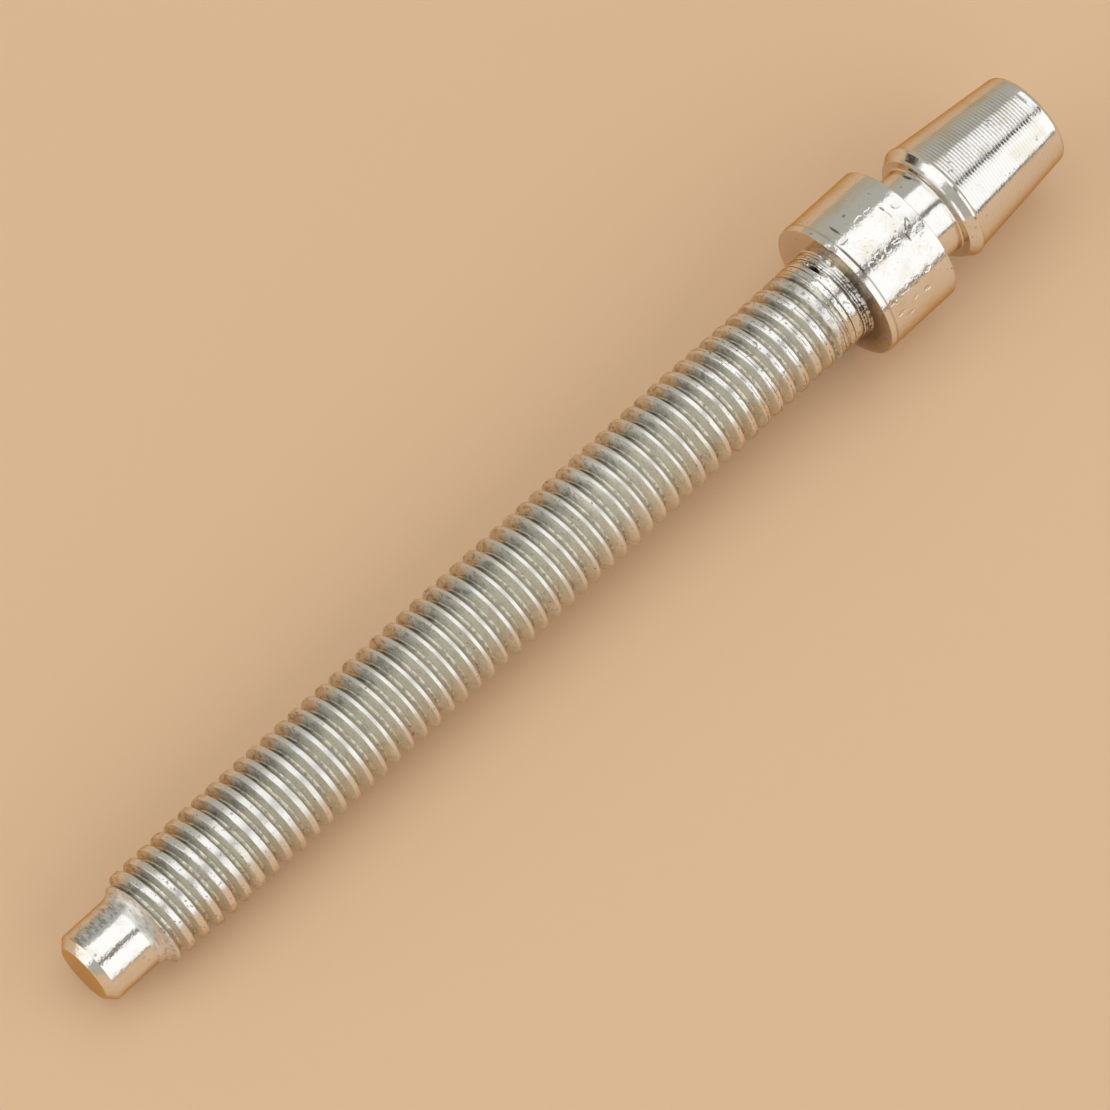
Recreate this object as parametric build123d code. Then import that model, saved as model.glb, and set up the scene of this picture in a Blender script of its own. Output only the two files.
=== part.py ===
from build123d import *
import math
import os

# Headlight adjustment screw: one turned and thread-rolled steel piece.
# All sizes are millimetres. Stations run along the screw from the end face of its tip.

# Dog point, the plain tip that leads the screw into its nut
dog_radius = 2.20
dog_chamfer = 0.48
dog_length = 3.87
dog_fillet = 0.94

# M6 x 1 right-hand thread. The solid carries the envelope of its crests, which are
# rolled to their full height between the two tapered ends.
thread_start = 4.10
thread_start_radius = 2.83
thread_full_start = 10.50
thread_major_radius = 2.975
thread_full_end = 38.00
thread_waist = 45.00
thread_waist_radius = 2.93
thread_end = 50.00

# Plain shank that the thread runs out on
shank_radius = 2.84

# Collar that bears on the bracket
collar_start = 56.25
collar_length = 5.00
collar_radius = 4.375
collar_land_radius = 4.40
collar_land_length = 0.37
collar_bevel_drop = 0.06
collar_land_step = 0.06
collar_root_fillet = 0.08

# Neck that a slotted plate sits in
neck_radius = 2.80
neck_length = 2.18
neck_fillet = 0.12

# Tapered head, widest beside the neck
head_underside_radius = 3.375
head_rim_radius = 3.44
head_rim_length = 0.17
head_chamfer_radius = 3.72
head_chamfer_length = 0.38
head_widest_radius = 3.74
head_land_length = 0.14
head_shoulder_radius = 3.68
head_shoulder_length = 0.12
head_end_radius = 2.95
head_end_rounding = 0.25
head_end_station = 71.45

# Turn about its own axis at which the screw has come to rest, in degrees
rest_roll = 3.6

collar_end = collar_start + collar_length
head_start = collar_end + neck_length


def tip_outline():
    """Outline points from the tip's end face to the end of the shank."""
    return [
        (0, 0),
        (dog_radius - dog_chamfer, 0),
        (dog_radius, dog_chamfer),
        (dog_radius, dog_length),
        (thread_start_radius, thread_start),
        (thread_major_radius, thread_full_start),
        (thread_major_radius, thread_full_end),
        (thread_waist_radius, thread_waist),
        (shank_radius, thread_end),
        (shank_radius, collar_start),
    ]


def collar_outline():
    """Outline points of the collar, with the raised land at its tip-side rim."""
    land_end = collar_start + collar_land_length
    return [
        (collar_land_radius - collar_bevel_drop, collar_start),
        (collar_land_radius, land_end),
        (collar_radius, land_end + collar_land_step),
        (collar_radius, collar_end),
        (neck_radius, collar_end),
    ]


def head_outline():
    """Outline points of the head, from its flat underside to its end face."""
    rim_end = head_start + head_rim_length
    chamfer_end = rim_end + head_chamfer_length
    land_end = chamfer_end + head_land_length
    return [
        (neck_radius, head_start),
        (head_underside_radius, head_start),
        (head_rim_radius, rim_end),
        (head_chamfer_radius, chamfer_end),
        (head_widest_radius, land_end),
        (head_shoulder_radius, land_end + head_shoulder_length),
        (head_end_radius, head_end_station),
        (0, head_end_station),
    ]


def corner(profile, radius, station):
    """The profile's vertex at one radius and station."""
    return profile.vertices().sort_by_distance((radius, station, 0))[0]


def turned_profile():
    """Half section of the screw: radius along X, station along Y."""
    outline = tip_outline() + collar_outline() + head_outline()
    profile = make_face(Polyline(*outline, close=True))
    roundings = [
        (dog_radius, dog_length, dog_fillet),
        (shank_radius, collar_start, collar_root_fillet),
        (neck_radius, collar_end, neck_fillet),
        (neck_radius, head_start, neck_fillet),
        (head_end_radius, head_end_station, head_end_rounding),
    ]
    for radius, station, rounding in roundings:
        profile = fillet(corner(profile, radius, station), rounding)
    return profile


def adjustment_screw():
    """The screw as one solid, its axis along +Z and its tip at the origin."""
    upright_profile = Rot(X=90) * turned_profile()
    return revolve(upright_profile, axis=Axis.Z)


def rest_tilt():
    """Angle that the axis climbs when the screw lies on its collar and first thread."""
    collar_contact = collar_start + collar_land_length
    rise = collar_land_radius - thread_start_radius
    return math.degrees(math.atan2(rise, collar_contact - thread_start))


def lay_at_rest(screw):
    """Turn the screw from upright to lying, tip towards -X, lowest points at z = 0."""
    lying = Rot(Y=90 - rest_tilt()) * Rot(Z=rest_roll) * screw
    box = lying.bounding_box()
    return Pos(-box.center().X, 0, -box.min.Z) * lying


os.makedirs("parts", exist_ok=True)
screw = lay_at_rest(adjustment_screw())
export_step(screw, "parts/adjustment_screw.step")
print("rest tilt, degrees:", round(rest_tilt(), 4))
print("box:", screw.bounding_box())
print("volume, cubic mm:", round(screw.volume, 2))
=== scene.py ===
import math
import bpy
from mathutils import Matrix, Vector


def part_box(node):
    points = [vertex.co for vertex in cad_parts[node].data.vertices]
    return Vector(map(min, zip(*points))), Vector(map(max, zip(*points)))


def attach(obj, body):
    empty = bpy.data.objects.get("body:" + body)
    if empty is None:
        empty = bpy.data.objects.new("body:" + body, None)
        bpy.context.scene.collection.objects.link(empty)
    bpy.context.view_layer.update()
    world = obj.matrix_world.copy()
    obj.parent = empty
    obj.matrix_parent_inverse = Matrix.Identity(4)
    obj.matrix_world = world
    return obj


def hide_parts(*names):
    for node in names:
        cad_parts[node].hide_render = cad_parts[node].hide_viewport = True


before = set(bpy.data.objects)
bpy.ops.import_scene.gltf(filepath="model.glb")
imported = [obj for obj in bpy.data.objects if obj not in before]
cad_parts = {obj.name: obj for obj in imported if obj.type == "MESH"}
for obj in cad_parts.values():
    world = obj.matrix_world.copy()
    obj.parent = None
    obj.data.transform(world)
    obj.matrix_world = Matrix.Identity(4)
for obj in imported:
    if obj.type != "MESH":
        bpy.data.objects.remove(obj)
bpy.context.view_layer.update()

from types import SimpleNamespace

import bpy
from bpy.props import FloatProperty, FloatVectorProperty, IntProperty, PointerProperty
from mathutils import Matrix, Vector, noise

bl_info = {
    "name": "Headlight adjustment screw",
    "version": (1, 0, 0),
    "blender": (4, 5, 0),
    "location": "3D View > Sidebar > Adjustment screw",
    "description": "Models a thread-rolled headlight adjustment screw and the stage it lies on",
    "category": "Add Mesh",
}

MM = 0.001
SCREW_NODE = "adjustment_screw"


def length(name, description, millimetres):
    """A length property, stated in millimetres and stored in metres."""
    return FloatProperty(name=name, description=description, default=millimetres * MM,
                         unit="LENGTH", precision=6)


def angle(name, description, degrees):
    """An angle property, stated in degrees and stored in radians."""
    return FloatProperty(name=name, description=description, default=math.radians(degrees),
                         subtype="ANGLE")


def colour(name, description, value):
    """A colour property without alpha."""
    return FloatVectorProperty(name=name, description=description, default=value,
                               subtype="COLOR", size=3, min=0.0, max=1.0)


# ---------------------------------------------------------------------------
# Sizes and colours
# ---------------------------------------------------------------------------

class DogPointSizes(bpy.types.PropertyGroup):
    """The plain tip, stations measured from its end face"""
    radius: length("Radius", "Radius of the plain tip", 2.20)
    chamfer: length("Chamfer", "45 degree chamfer at the end face", 0.48)
    edge_rounding: length("Edge rounding", "Rounding of the chamfer's two edges", 0.06)
    sweep_start: length("Sweep start", "Station where the tip starts to flare out", 3.20)
    sweep_radius: length("Sweep radius", "Radius of the concave flare up to the thread", 0.955)


class ThreadSizes(bpy.types.PropertyGroup):
    """The rolled thread, M6 x 1 right-hand"""
    pitch: length("Pitch", "Distance from crest to crest", 1.0)
    lead: length("Lead", "Station of a crest straight above the axis, less whole turns", 0.914)
    major_radius: length("Major radius", "Radius over the crests at full height", 2.975)
    root_radius: length("Root radius", "Radius at the bottom of the groove", 2.387)
    crest_half_width: length("Crest half width", "Half the flat of a full crest", 0.066)
    tip_widening: length("Tip widening", "Half of what the first, low crests are wider", 0.112)
    tip_widening_start: length("Tip widening start", "Station where they begin to narrow", 9.0)
    tip_widening_end: length("Tip widening end", "Station where crests are no longer wider", 21.0)
    shank_widening: length("Shank widening", "Half of what the last crests are wider", 0.128)
    shank_widening_start: length("Shank widening start", "Station where they begin to widen", 41.0)
    shank_widening_end: length("Shank widening end", "Station where they are widest", 51.5)
    start: length("Start", "Station where the crests begin", 4.10)
    start_radius: length("Start radius", "Crest radius at the start", 2.83)
    full_start: length("Full start", "Station where the crests reach full height", 10.5)
    full_end: length("Full end", "Station where the crests begin to drop", 36.0)
    waist: length("Waist", "Station half way down the drop", 45.0)
    waist_radius: length("Waist radius", "Crest radius at the waist", 2.935)
    end: length("End", "Station where the crests meet the shank's radius", 50.5)
    run_out_start: length("Run-out start", "Station where the groove begins to rise", 53.3)
    run_out_end: length("Run-out end", "Station where the groove is gone", 54.9)
    shank_radius: length("Shank radius", "Radius of the plain shank", 2.84)


class CollarSizes(bpy.types.PropertyGroup):
    """The round collar"""
    start: length("Start", "Station of the tip-side face", 56.25)
    length: length("Length", "Length along the axis", 5.0)
    radius: length("Radius", "Outer radius", 4.375)
    land_radius: length("Land radius", "Radius of the raised land at the tip-side rim", 4.40)
    land_length: length("Land length", "Length of the raised land", 0.37)
    bevel_drop: length("Bevel drop", "How far the land falls towards the rim", 0.06)
    edge_rounding: length("Edge rounding", "Rounding of the rims", 0.035)
    land_edge_rounding: length("Land edge rounding", "Rounding of the land's step", 0.02)
    land_step: length("Land step", "Length of the slope down from the land", 0.06)
    foot_fillet: length("Foot fillet", "Rounding between the shank and the collar", 0.08)


class HeadSizes(bpy.types.PropertyGroup):
    """The neck and the tapered head"""
    neck_radius: length("Neck radius", "Radius of the neck", 2.80)
    neck_length: length("Neck length", "Gap between the collar and the head", 2.18)
    neck_fillet: length("Neck fillet", "Rounding at both ends of the neck", 0.12)
    underside_radius: length("Underside radius", "Rim radius of the flat underside", 3.375)
    rim_radius: length("Rim radius", "Radius at the end of the rim", 3.44)
    rim_length: length("Rim length", "Length of the rim", 0.17)
    chamfer_radius: length("Chamfer radius", "Radius at the end of the chamfer", 3.72)
    chamfer_length: length("Chamfer length", "Length of the chamfer", 0.38)
    widest_radius: length("Widest radius", "Largest radius of the head", 3.74)
    land_length: length("Land length", "Length of the widest land", 0.14)
    shoulder_radius: length("Shoulder radius", "Radius where the taper begins", 3.68)
    shoulder_length: length("Shoulder length", "Length of the shoulder behind the land", 0.12)
    end_radius: length("End radius", "Radius at the end face before rounding", 2.95)
    end_rounding: length("End rounding", "Rounding of the end face's edge", 0.25)
    edge_rounding: length("Edge rounding", "Rounding of the rim's and the chamfer's edges", 0.02)
    land_rounding: length("Land rounding", "Rounding of the land and the underside's rim", 0.03)
    end_station: length("End station", "Station of the end face", 71.45)
    feed: length("Feed", "Distance between the turning ridges on the taper", 0.205)
    feed_depth: length("Feed depth", "Depth of the turning ridges", 0.0013)


class FinishSettings(bpy.types.PropertyGroup):
    """Bright zinc plate on turned and rolled steel"""
    zinc: colour("Zinc", "Colour of the bright plate", (0.862, 0.868, 0.888))
    stain: colour("Stain", "Colour of the plate where it has yellowed", (0.80, 0.76, 0.66))
    groove: colour("Groove", "Colour of the matt plate on the thread's flanks", (0.95, 0.935, 0.84))
    # Painted shade: a darker grey-blue laid on the thread's flanks on the screw's upper side.
    upper: colour("Upper", "Colour of the plate high on the flanks", (0.84, 0.885, 0.87))
    # Painted reflection: ochre laid on the flanks near the screw's upper outline, standing in for the
    # warm floor they mirror.
    ochre_reflection: colour("Aged", "Colour of the stain behind the top of the flanks", (0.93, 0.74, 0.50))
    cream: colour("Cream", "Colour of the pale blotches on the flanks", (0.92, 0.89, 0.80))
    root: colour("Root", "Colour of the plate at the groove's bottom", (0.80, 0.78, 0.66))
    # Also the colour of painted shade on the flanks, the dog's upper side, the collar's front face and
    # the land's step.
    grit_and_shade: colour("Grit", "Colour of dirt in pits and seams", (0.13, 0.12, 0.11))
    roughness: FloatProperty(name="Roughness", description="Roughness of bright plate",
                             default=0.12, min=0.0, max=1.0)
    groove_roughness: FloatProperty(name="Groove roughness",
                                    description="Roughness of the thread's flanks",
                                    default=0.55, min=0.0, max=1.0)
    # Painted reflection: the plate's reflection tinted ochre at grazing angles, standing in for the
    # warm floor mirrored at the outline.
    edge_reflection_tint: colour("Edge tint", "Tint of the plate's film where seen edge on", (0.77, 0.53, 0.22))
    grain_depth: length("Grain depth", "Height of the orange-peel grain", 0.016)
    score_depth: length("Score depth", "Depth of the circumferential tool marks", 0.0065)
    feed_depth: length("Feed depth", "Depth of the bright and dull rings on the head", 0.0020)
    scratch_depth: length("Scratch depth", "Depth of the fine scratches", 0.0030)
    pit_depth: length("Pit depth", "Depth of the pits", 0.010)
    speck_depth: length("Speck depth", "Depth of the specks on the first and last crests", 0.012)


class MeshSettings(bpy.types.PropertyGroup):
    """How finely the screw is modelled"""
    thread_steps: IntProperty(name="Thread steps", description="Steps in one turn of thread",
                              default=80, min=24, max=160)
    turned_steps: IntProperty(name="Turned steps", description="Steps round the collar and head",
                              default=120, min=32, max=256)
    row: length("Row", "Longest row of faces along the collar", 0.11)
    shank_row: length("Shank row", "Longest row of faces along the shank", 0.036)
    end_row: length("End row", "Longest row of faces across the head's end face", 0.4)


class StageSettings(bpy.types.PropertyGroup):
    """Floor, lamps and camera"""
    floor: colour("Floor", "Colour of the floor", (0.88, 0.615, 0.41))
    surroundings: colour("Surroundings", "Colour of the studio around the floor", (0.45, 0.43, 0.365))
    horizon: colour("Horizon", "Colour of the studio low down beyond the screw", (0.45, 0.375, 0.25))
    horizon_slant: angle("Horizon slant", "Tilt of the studio's colours and half their blend", 17.5)
    elevation: angle("Elevation", "Camera's angle above the floor", 63.74)
    heading: angle("Heading", "Angle from the camera's right to the screw's axis", 44.78)
    distance: length("Distance", "Camera's distance from its aim", 346.2)
    lens: FloatProperty(name="Lens", description="Focal length in mm on a 36 mm sensor",
                        default=209.0, min=1.0)
    aim_station: length("Aim station", "Station on the axis that the camera looks at", 34.3)
    aim_right: length("Aim right", "Offset of the aim to the camera's right", 0.26)
    aim_down: length("Aim down", "Offset of the aim down the camera's view", 0.24)


SETTINGS = {
    "screw_dog": DogPointSizes,
    "screw_thread": ThreadSizes,
    "screw_collar": CollarSizes,
    "screw_head": HeadSizes,
    "screw_finish": FinishSettings,
    "screw_mesh": MeshSettings,
    "screw_stage": StageSettings,
}


# ---------------------------------------------------------------------------
# Where the screw lies
# ---------------------------------------------------------------------------

def rest_tilt(scene):
    """Angle that the axis climbs from tip to head, lying on its collar and first crest."""
    collar = scene.screw_collar
    thread = scene.screw_thread
    run = collar.start + collar.land_length - thread.start
    return math.atan2(collar.land_radius - thread.start_radius, run)


def resting_place(scene):
    """Matrix from the upright screw, tip at the origin, to where the frame has it.

    Upright, +Z runs from tip to head, and +X becomes the side that faces up.
    """
    collar = scene.screw_collar
    dog = scene.screw_dog
    tilt = rest_tilt(scene)
    low_corner = Vector(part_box(SCREW_NODE)[0])
    face_radius = dog.radius - dog.chamfer
    contact = collar.start + collar.land_length
    along = Vector((math.cos(tilt), 0.0, math.sin(tilt)))
    upward = Vector((-math.sin(tilt), 0.0, math.cos(tilt)))
    sideways = along.cross(upward)
    tip = Vector((low_corner.x + face_radius * math.sin(tilt), 0.0,
                  collar.land_radius * math.cos(tilt) - contact * math.sin(tilt)))
    turn = Matrix((upward, sideways, along)).transposed().to_4x4()
    return Matrix.Translation(tip) @ turn


# ---------------------------------------------------------------------------
# Modelling tools
# ---------------------------------------------------------------------------

def select_only(*objects):
    """Select these objects alone and make the first one active."""
    bpy.ops.object.select_all(action="DESELECT")
    for obj in objects:
        obj.select_set(True)
    bpy.context.view_layer.objects.active = objects[0]


def start_edit(obj):
    """Select one object alone and enter edit mode with nothing selected in it."""
    select_only(obj)
    bpy.ops.object.mode_set(mode="EDIT")
    bpy.ops.mesh.select_all(action="DESELECT")


def end_edit():
    """Leave edit mode."""
    bpy.ops.object.mode_set(mode="OBJECT")


def rounded_outline(corners, arc_steps=4):
    """Corners (radius, station, rounding) as a line of points, each rounding as an arc."""
    points = []
    for index, (radius, station, rounding) in enumerate(corners):
        here = Vector((radius, station))
        if rounding <= 0.0:
            points.append(here)
            continue
        back = (Vector(corners[index - 1][:2]) - here).normalized()
        onward = (Vector(corners[index + 1][:2]) - here).normalized()
        half_angle = back.angle(onward) / 2
        centre = here + (back + onward).normalized() * rounding / math.sin(half_angle)
        reach = rounding / math.tan(half_angle)
        first = here + back * reach - centre
        last = here + onward * reach - centre
        heading = math.atan2(first.y, first.x)
        sweep = math.remainder(math.atan2(last.y, last.x) - heading, math.tau)
        for step in range(arc_steps + 1):
            spoke = heading + sweep * step / arc_steps
            points.append(centre + Vector((math.cos(spoke), math.sin(spoke))) * rounding)
    return points


def evenly(start, end, longest):
    """Points from start up to but not including end, no further apart than longest."""
    count = max(1, math.ceil((end - start).length / longest))
    return [start.lerp(end, step / count) for step in range(count)]


def with_rows(points, longest):
    """The line with its long runs divided into rows."""
    rows = []
    for start, end in zip(points, points[1:]):
        rows.extend(evenly(start, end, longest))
    rows.append(points[-1])
    return rows


def draw_line(name, points):
    """A line of edges in the XZ plane, extruded from one vertex to the next."""
    first = points[0]
    bpy.ops.mesh.primitive_plane_add(size=MM, location=(first.x, 0.0, first.y))
    line = bpy.context.object
    line.name = name
    bpy.ops.object.transform_apply(location=True, rotation=True, scale=True)
    start_edit(line)
    bpy.ops.mesh.select_all(action="SELECT")
    bpy.ops.mesh.merge(type="CENTER")
    here = first
    for point in points[1:]:
        move = (point.x - here.x, 0.0, point.y - here.y)
        bpy.ops.mesh.extrude_region_move(TRANSFORM_OT_translate={"value": move})
        here = point
    end_edit()
    return line


WELD = 0.0002 * MM
THREAD_WELD = 0.002 * MM


def spin_up(line, steps):
    """Spin the line once round the axis into a closed surface of revolution."""
    start_edit(line)
    bpy.ops.mesh.select_all(action="SELECT")
    bpy.ops.mesh.spin(steps=steps, angle=math.tau, center=(0, 0, 0), axis=(0, 0, 1))
    bpy.ops.mesh.select_all(action="SELECT")
    bpy.ops.mesh.remove_doubles(threshold=WELD)
    end_edit()
    return line


def apply_modifier(obj, kind, **values):
    """Add a modifier, set its values and apply it."""
    select_only(obj)
    modifier = obj.modifiers.new(kind.title(), kind)
    for key, value in values.items():
        setattr(modifier, key, value)
    bpy.ops.object.modifier_apply(modifier=modifier.name)


def smooth_step(value, low, high):
    """0 below low, 1 above high and a smooth ramp between."""
    share = min(1.0, max(0.0, (value - low) / (high - low)))
    return share * share * (3.0 - 2.0 * share)


def ramp(value, stops):
    """Straight-line value between stops (position, value)."""
    if value <= stops[0][0]:
        return stops[0][1]
    for (low, low_value), (high, high_value) in zip(stops, stops[1:]):
        if value <= high:
            share = (value - low) / (high - low)
            return low_value + (high_value - low_value) * share
    return stops[-1][1]


def ripple(x, y, z, per_mm, seed=0.0):
    """Smooth noise between -1 and 1, with about per_mm waves in a millimetre."""
    scale = per_mm / MM
    return noise.noise(Vector((x * scale + seed, y * scale - seed, z * scale + 2.0 * seed)))


# ---------------------------------------------------------------------------
# The screw: turned tip, rolled thread, turned collar and head
# ---------------------------------------------------------------------------

# The rolled section: slope of its flanks, how far in from a crest's corner its rounding
# starts, how far out and down the rounding ends, and how high the root's rounding starts.
FLANK_SLOPE = math.tan(math.radians(60.0))
CREST_ROUNDING = 0.02 * MM
CREST_EDGE = 0.03 * MM
CREST_EDGE_DROP = 0.055 * MM
ROOT_CORNER_RISE = 0.05 * MM

# Stations where the turned tip and head meet the rolled stretch, and the gaps bridged there.
CUT_TIP = 2.95 * MM
CUT_SHANK = 54.95 * MM
TIP_GAP = 0.12 * MM
SHANK_GAP = 0.05 * MM


def turned_tip(scene):
    """The chamfered end of the dog point, open where the rolled part joins it."""
    dog = scene.screw_dog
    corners = [
        (0.0, 0.0, 0.0),
        (dog.radius - dog.chamfer, 0.0, dog.edge_rounding),
        (dog.radius, dog.chamfer, dog.edge_rounding),
        (dog.radius, CUT_TIP - TIP_GAP, 0.0),
    ]
    points = with_rows(rounded_outline(corners), scene.screw_mesh.row * 2)
    return spin_up(draw_line("turned_tip", points), scene.screw_mesh.thread_steps)


def one_pitch(thread):
    """Half section of one pitch of full thread, groove bottom to groove bottom."""
    flat = thread.crest_half_width
    depth = thread.major_radius - thread.root_radius
    edge = flat + CREST_EDGE
    foot = edge + (depth - CREST_EDGE_DROP - ROOT_CORNER_RISE) / FLANK_SLOPE
    half = [
        (0.0, 0.0),
        (flat * 0.5, 0.0),
        (flat - CREST_ROUNDING, -0.003 * MM),
        (flat + 0.008 * MM, -0.018 * MM),
        (edge, -CREST_EDGE_DROP),
        (foot, ROOT_CORNER_RISE - depth),
        (foot + 0.034 * MM, 0.009 * MM - depth),
        (thread.pitch / 2, -depth),
    ]
    before = [(-offset, drop) for offset, drop in reversed(half[1:])]
    return [Vector((thread.major_radius + drop, offset)) for offset, drop in before + half]


def crest_widening(thread, station):
    """Half of what the flat of the crest is wider at a station than a full crest's."""
    near_tip = ramp(station, [(thread.tip_widening_start, thread.tip_widening),
                              (thread.tip_widening_end, 0.0)])
    near_shank = ramp(station, [(thread.shank_widening_start, 0.0),
                                (thread.shank_widening_end, thread.shank_widening)])
    return near_tip + near_shank


def crest_radius(thread, station):
    """Radius that the crests reach at a station."""
    return ramp(station, [
        (thread.start, thread.start_radius),
        (thread.full_start, thread.major_radius),
        (thread.full_end, thread.major_radius),
        (thread.waist, thread.waist_radius),
        (thread.end, thread.shank_radius),
    ])


def groove_lift(thread, station):
    """How far the groove's bottom has risen at a station of the run-out."""
    share = ramp(station, [(thread.run_out_start, 0.0), (thread.run_out_end, 1.0)])
    return (thread.shank_radius - thread.root_radius) * share


def flare_radius(dog, station):
    """Radius of the tip and of the concave flare that ends it."""
    if station <= dog.sweep_start:
        return dog.radius
    run = min(station - dog.sweep_start, dog.sweep_radius * 0.97)
    return dog.radius + dog.sweep_radius - math.sqrt(dog.sweep_radius ** 2 - run ** 2)


def dress_thread(body, scene):
    """Drop, widen and fade the crests, and blend both ends into the plain stretches."""
    thread = scene.screw_thread
    dog = scene.screw_dog
    flat = thread.crest_half_width
    edge = flat + CREST_EDGE + 0.001 * MM
    flank = thread.major_radius - thread.root_radius - 0.11 * MM
    low_wave = 0.007 * MM
    side_wave = 0.036 * MM
    for vertex in body.data.vertices:
        x, y, station = vertex.co
        radius = math.hypot(x, y)
        scale = 1.0 / radius
        turn = math.atan2(y, x) / math.tau
        phase = (station - thread.lead) / thread.pitch - turn + 0.5
        offset = (phase - math.floor(phase) - 0.5) * thread.pitch
        top = crest_radius(thread, station) + low_wave * ripple(x, y, station, 0.55)
        lift = groove_lift(thread, station)
        if abs(offset) <= edge:
            wider = crest_widening(thread, station) + lift / FLANK_SLOPE
            wider += side_wave * ripple(x, y, station, 1.0, 3.0 + math.copysign(5.0, offset))
            wider = min(wider, flank / FLANK_SLOPE)
            share = min(1.0, abs(offset) / (flat - CREST_ROUNDING))
            station += math.copysign(wider * share, offset)
            radius -= thread.major_radius - top
        else:
            radius += lift
        radius = min(radius, top, flare_radius(dog, station))
        vertex.co = (x * scale * radius, y * scale * radius, station)


def rolled_thread(scene):
    """The threaded stretch: one pitch screwed round the axis, dressed and cut square."""
    thread = scene.screw_thread
    turns = math.ceil((CUT_SHANK - CUT_TIP) / thread.pitch) + 3
    base = thread.lead + thread.pitch * (math.floor(CUT_TIP / thread.pitch) - 2)
    points = [Vector((point.x, point.y + base)) for point in one_pitch(thread)]
    body = draw_line("rolled_thread", points)
    apply_modifier(body, "SCREW", angle=math.tau, screw_offset=thread.pitch,
                   iterations=turns, steps=scene.screw_mesh.thread_steps,
                   render_steps=scene.screw_mesh.thread_steps, axis="Z")
    start_edit(body)
    bpy.ops.mesh.select_all(action="SELECT")
    bpy.ops.mesh.remove_doubles(threshold=THREAD_WELD)
    end_edit()
    dress_thread(body, scene)
    start_edit(body)
    for cut, inner, outer in ((CUT_TIP, True, False), (CUT_SHANK, False, True)):
        bpy.ops.mesh.select_all(action="SELECT")
        bpy.ops.mesh.bisect(plane_co=(0, 0, cut), plane_no=(0, 0, 1),
                            clear_inner=inner, clear_outer=outer, threshold=WELD / 2)
    end_edit()
    return body


def feed_ridges(start, end, head):
    """The taper's line with the scallops that the turning tool left on it."""
    run = end - start
    inward = Vector((-run.y, run.x)).normalized()
    count = round(run.length / head.feed)
    points = []
    for ring in range(count):
        for part in (0.0, 0.3, 0.7):
            hollow = head.feed_depth * 4.0 * part * (1.0 - part)
            points.append(start + run * ((ring + part) / count) + inward * hollow)
    return points


# Rings that the rolling dies and the tool left on the shank: station, depth, half width, mm.
SHANK_RINGS = [
    (55.03, 0.030, 0.035),
    (55.66, 0.060, 0.050),
    (55.84, 0.030, 0.040),
    (56.04, 0.040, 0.030),
]


def shank_line(start, end, radius, longest):
    """The shank's line with its rings, in short rows."""
    rows = math.ceil((end - start) / longest)
    points = []
    for row in range(rows + 1):
        station = start + (end - start) * row / rows
        sunk = sum(depth * math.exp(-((station / MM - ring) / half_width) ** 2)
                   for ring, depth, half_width in SHANK_RINGS)
        points.append(Vector((radius - sunk * MM, station)))
    return points


def turned_head_line(scene):
    """Half section from the shank over the collar, neck and head to the end face."""
    collar = scene.screw_collar
    head = scene.screw_head
    thread = scene.screw_thread
    mesh = scene.screw_mesh
    land_end = collar.start + collar.land_length
    collar_end = collar.start + collar.length
    under = collar_end + head.neck_length
    rim_end = under + head.rim_length
    chamfer_end = rim_end + head.chamfer_length
    widest = chamfer_end + head.land_length
    shoulder = widest + head.shoulder_length
    shank_end = collar.start - collar.foot_fillet - 0.005 * MM
    front = [
        (thread.shank_radius, shank_end, 0.0),
        (thread.shank_radius, collar.start, collar.foot_fillet),
        (collar.land_radius - collar.bevel_drop, collar.start, collar.edge_rounding),
        (collar.land_radius, land_end, collar.land_edge_rounding),
        (collar.radius, land_end + collar.land_step, collar.land_edge_rounding),
        (collar.radius, collar_end, collar.edge_rounding),
        (head.neck_radius, collar_end, head.neck_fillet),
        (head.neck_radius, under, head.neck_fillet),
        (head.underside_radius, under, head.land_rounding),
        (head.rim_radius, rim_end, head.edge_rounding),
        (head.chamfer_radius, chamfer_end, head.edge_rounding),
        (head.widest_radius, widest, head.land_rounding),
        (head.shoulder_radius, shoulder, 0.0),
    ]
    taper_start = Vector(front[-1][:2])
    taper_end = Vector((head.end_radius, head.end_station))
    stop = taper_end + (taper_start - taper_end).normalized() * head.end_rounding
    back = [
        (stop.x, stop.y, 0.0),
        (head.end_radius, head.end_station, head.end_rounding * 0.98),
        (0.0, head.end_station, 0.0),
    ]
    points = shank_line(CUT_SHANK + SHANK_GAP, shank_end, thread.shank_radius,
                        mesh.shank_row)[:-1]
    points += with_rows(rounded_outline(front), mesh.row)[:-1]
    points += feed_ridges(taper_start, stop, head)
    points += with_rows(rounded_outline(back), mesh.end_row)
    return points


def turned_head(scene):
    """Collar, neck and head, open where the shank joins the rolled part."""
    line = draw_line("turned_head", turned_head_line(scene))
    return spin_up(line, scene.screw_mesh.turned_steps)


def join_parts(parts):
    """Join the turned and rolled stretches into one mesh, open rims bridged."""
    select_only(*parts)
    body = parts[0]
    bpy.ops.object.join()
    slack = 0.02 * MM
    for low, high in ((CUT_TIP - TIP_GAP - slack, CUT_TIP + slack),
                      (CUT_SHANK - slack, CUT_SHANK + SHANK_GAP + slack)):
        start_edit(body)
        bpy.ops.mesh.select_mode(type="EDGE")
        bpy.ops.mesh.select_non_manifold(extend=False, use_wire=False, use_boundary=True,
                                         use_multi_face=False, use_non_contiguous=False,
                                         use_verts=False)
        end_edit()
        for edge in body.data.edges:
            middle = (body.data.vertices[edge.vertices[0]].co.z
                      + body.data.vertices[edge.vertices[1]].co.z) / 2
            edge.select = edge.select and low < middle < high
        bpy.ops.object.mode_set(mode="EDIT")
        bpy.ops.mesh.bridge_edge_loops()
        end_edit()
    start_edit(body)
    bpy.ops.mesh.select_mode(type="VERT")
    bpy.ops.mesh.select_all(action="SELECT")
    bpy.ops.mesh.normals_make_consistent(inside=False)
    end_edit()
    return body


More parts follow.
